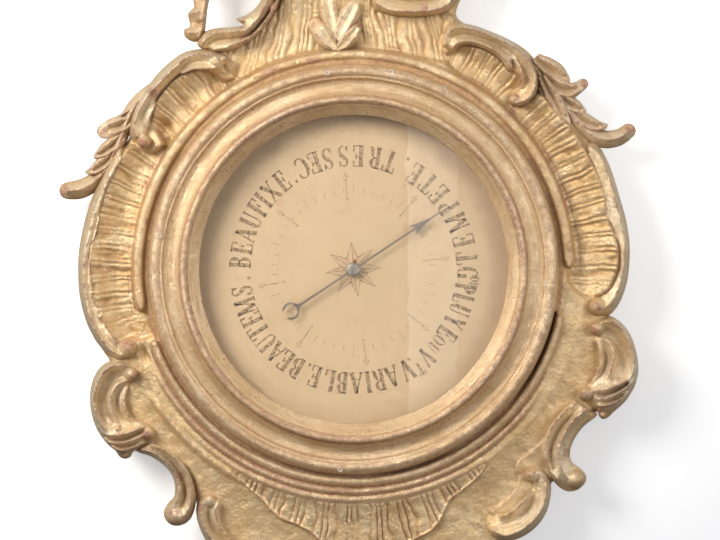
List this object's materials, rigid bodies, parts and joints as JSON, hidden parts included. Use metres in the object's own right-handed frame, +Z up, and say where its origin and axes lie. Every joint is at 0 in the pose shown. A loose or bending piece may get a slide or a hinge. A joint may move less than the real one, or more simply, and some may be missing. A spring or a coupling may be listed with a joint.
{
  "type": "aneroid barometer",
  "caption": "Wall barometer: aneroid movement behind a round weather dial and turned ring, in a carved gilt wooden frame of asymmetrical scrolls and leaves, with a hanging ring.",
  "frame": {"origin": "dial axis where it meets the back plane, which lies against the wall", "axes": "+X to the right seen from the front, +Z up, +Y into the wall, so the front faces -Y"},
  "size_m": [0.526, 0.066, 0.8629],
  "materials": {
    "gilding": "burnished and matte gold leaf over gesso and red bole on carved wood, worn",
    "pin_iron": "small nail heads with chipped gesso",
    "dial_paper": "aged laid paper, printed",
    "glass": "thin flat glass",
    "copper": "tarnished copper",
    "brass": "lacquered and lightly tarnished brass",
    "nickel_silver": "spun nickel silver",
    "steel": "polished steel",
    "blued_steel": "blued steel, dulled",
    "iron": "blackened wrought iron"
  },
  "bodies": {
    "frame": {"left_rim": "gilding", "right_rim": "gilding", "upper_left_scroll": "gilding", "upper_right_scroll": "gilding", "upper_left_leaves": "gilding", "upper_right_leaves": "gilding", "lower_left_c_scroll": "gilding", "lower_right_c_scroll": "gilding", "lower_left_s_scroll": "gilding", "lower_right_s_scroll": "gilding", "base_left_scroll": "gilding", "base_right_scroll": "gilding", "pendant_leaf": "gilding", "bottom_shell": "gilding", "crest_left_scroll": "gilding", "crest_right_scroll": "gilding", "crest_finial": "gilding", "crest_sprig": "gilding", "crest_fleuron": "gilding", "ring_moulding": "gilding", "glass_spacer": "gilding", "ground_board": "gilding", "ring_pin_1": "pin_iron", "ring_pin_2": "pin_iron", "ring_pin_3": "pin_iron", "ring_pin_4": "pin_iron", "ring_pin_5": "pin_iron", "ring_pin_6": "pin_iron", "dial_plate": "brass", "dial_card": "dial_paper", "glass": "glass", "dial_rivet": "copper", "movement_case": "brass", "base_plate": "brass", "vacuum_capsule": "nickel_silver", "spring_bridge": "brass", "leaf_spring": "blued_steel", "lever_bracket": "brass", "shaft_bearing": "brass", "chain": "steel", "arbor_bridge": "brass", "hairspring": "blued_steel", "hanger_plate": "iron", "case_screw_1": "brass", "movement_screw_1": "steel", "case_screw_2": "brass", "movement_screw_2": "steel", "case_screw_3": "brass", "movement_screw_3": "steel", "hanger_screw_1": "iron", "hanger_screw_2": "iron"},
    "pointer": {"hand": "blued_steel", "hand_collet": "steel", "pointer_arbor": "steel"},
    "regulator": {"regulator": "steel"},
    "lever": {"main_lever": "steel", "lever_link": "steel"},
    "zero_screw": {"adjusting_screw": "brass"},
    "ring": {"hanging_ring": "iron"}
  },
  "joints": [
    {"name": "pointer_turn", "type": "hinge", "parent": "frame", "child": "pointer", "pos_m": [0, -0.03, 0], "axis": [0, 1, 0], "range_deg": [-26, 314], "deforming": ["hairspring"]},
    {"name": "regulator_rock", "type": "hinge", "parent": "frame", "child": "regulator", "pos_m": [0.022, -0.015, 0], "axis": [0, 0, -1], "range_deg": [-2.5, 26.5], "deforming": ["chain"]},
    {"name": "lever_rock", "type": "hinge", "parent": "frame", "child": "lever", "pos_m": [-0.033, -0.022, -0.01], "axis": [0, 0, 1], "range_deg": [-0.3, 2.7]},
    {"name": "zero_screw_turn", "type": "hinge", "parent": "frame", "child": "zero_screw", "pos_m": [-0.033, -0.001, 0.008], "axis": [0, 1, 0], "range_deg": [-270, 270]},
    {"name": "ring_swing", "type": "hinge", "parent": "frame", "child": "ring", "pos_m": [0.0015, -0.0034, 0.3], "axis": [1, 0, 0], "range_deg": [0, 180]}
  ],
  "couplings": [
    {"joint": "regulator_rock", "follows": "pointer_turn", "ratio": 0.083333},
    {"joint": "lever_rock", "follows": "pointer_turn", "ratio": 0.0083333}
  ]
}
